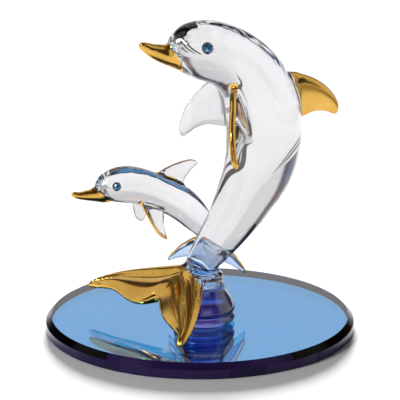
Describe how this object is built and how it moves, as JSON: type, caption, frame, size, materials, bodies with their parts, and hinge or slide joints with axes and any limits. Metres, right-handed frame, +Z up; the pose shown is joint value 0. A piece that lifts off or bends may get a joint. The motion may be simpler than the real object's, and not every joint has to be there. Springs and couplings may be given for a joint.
{
  "type": "dolphin figurine",
  "caption": "Clear glass mother dolphin and calf leaping from a violet glass knob, with gilded beaks, fin and flukes, on a round bevelled blue mirror base.",
  "frame": {"origin": "middle of the mirror disc's underside, where it meets the table", "axes": "+Z up; both dolphins head towards -X, and the mother's middle plane is parallel to XZ"},
  "size_m": [0.1016, 0.1016, 0.1047],
  "materials": {
    "mirror_glass": "blue mirror, polished, ground bevel",
    "violet_glass": "polished, deep violet blue",
    "clear_glass": "fire polished clear glass with fired gold on beak, fins and flukes",
    "blue_crystal": "faceted, foil backed"
  },
  "bodies": {
    "root": {"mirror_base": "mirror_glass", "cobalt_knob": "violet_glass", "mother_dolphin": "clear_glass", "calf_dolphin": "clear_glass", "mother_eye_left": "blue_crystal", "mother_eye_right": "blue_crystal", "calf_eye_left": "blue_crystal", "calf_eye_right": "blue_crystal"}
  },
  "joints": []
}
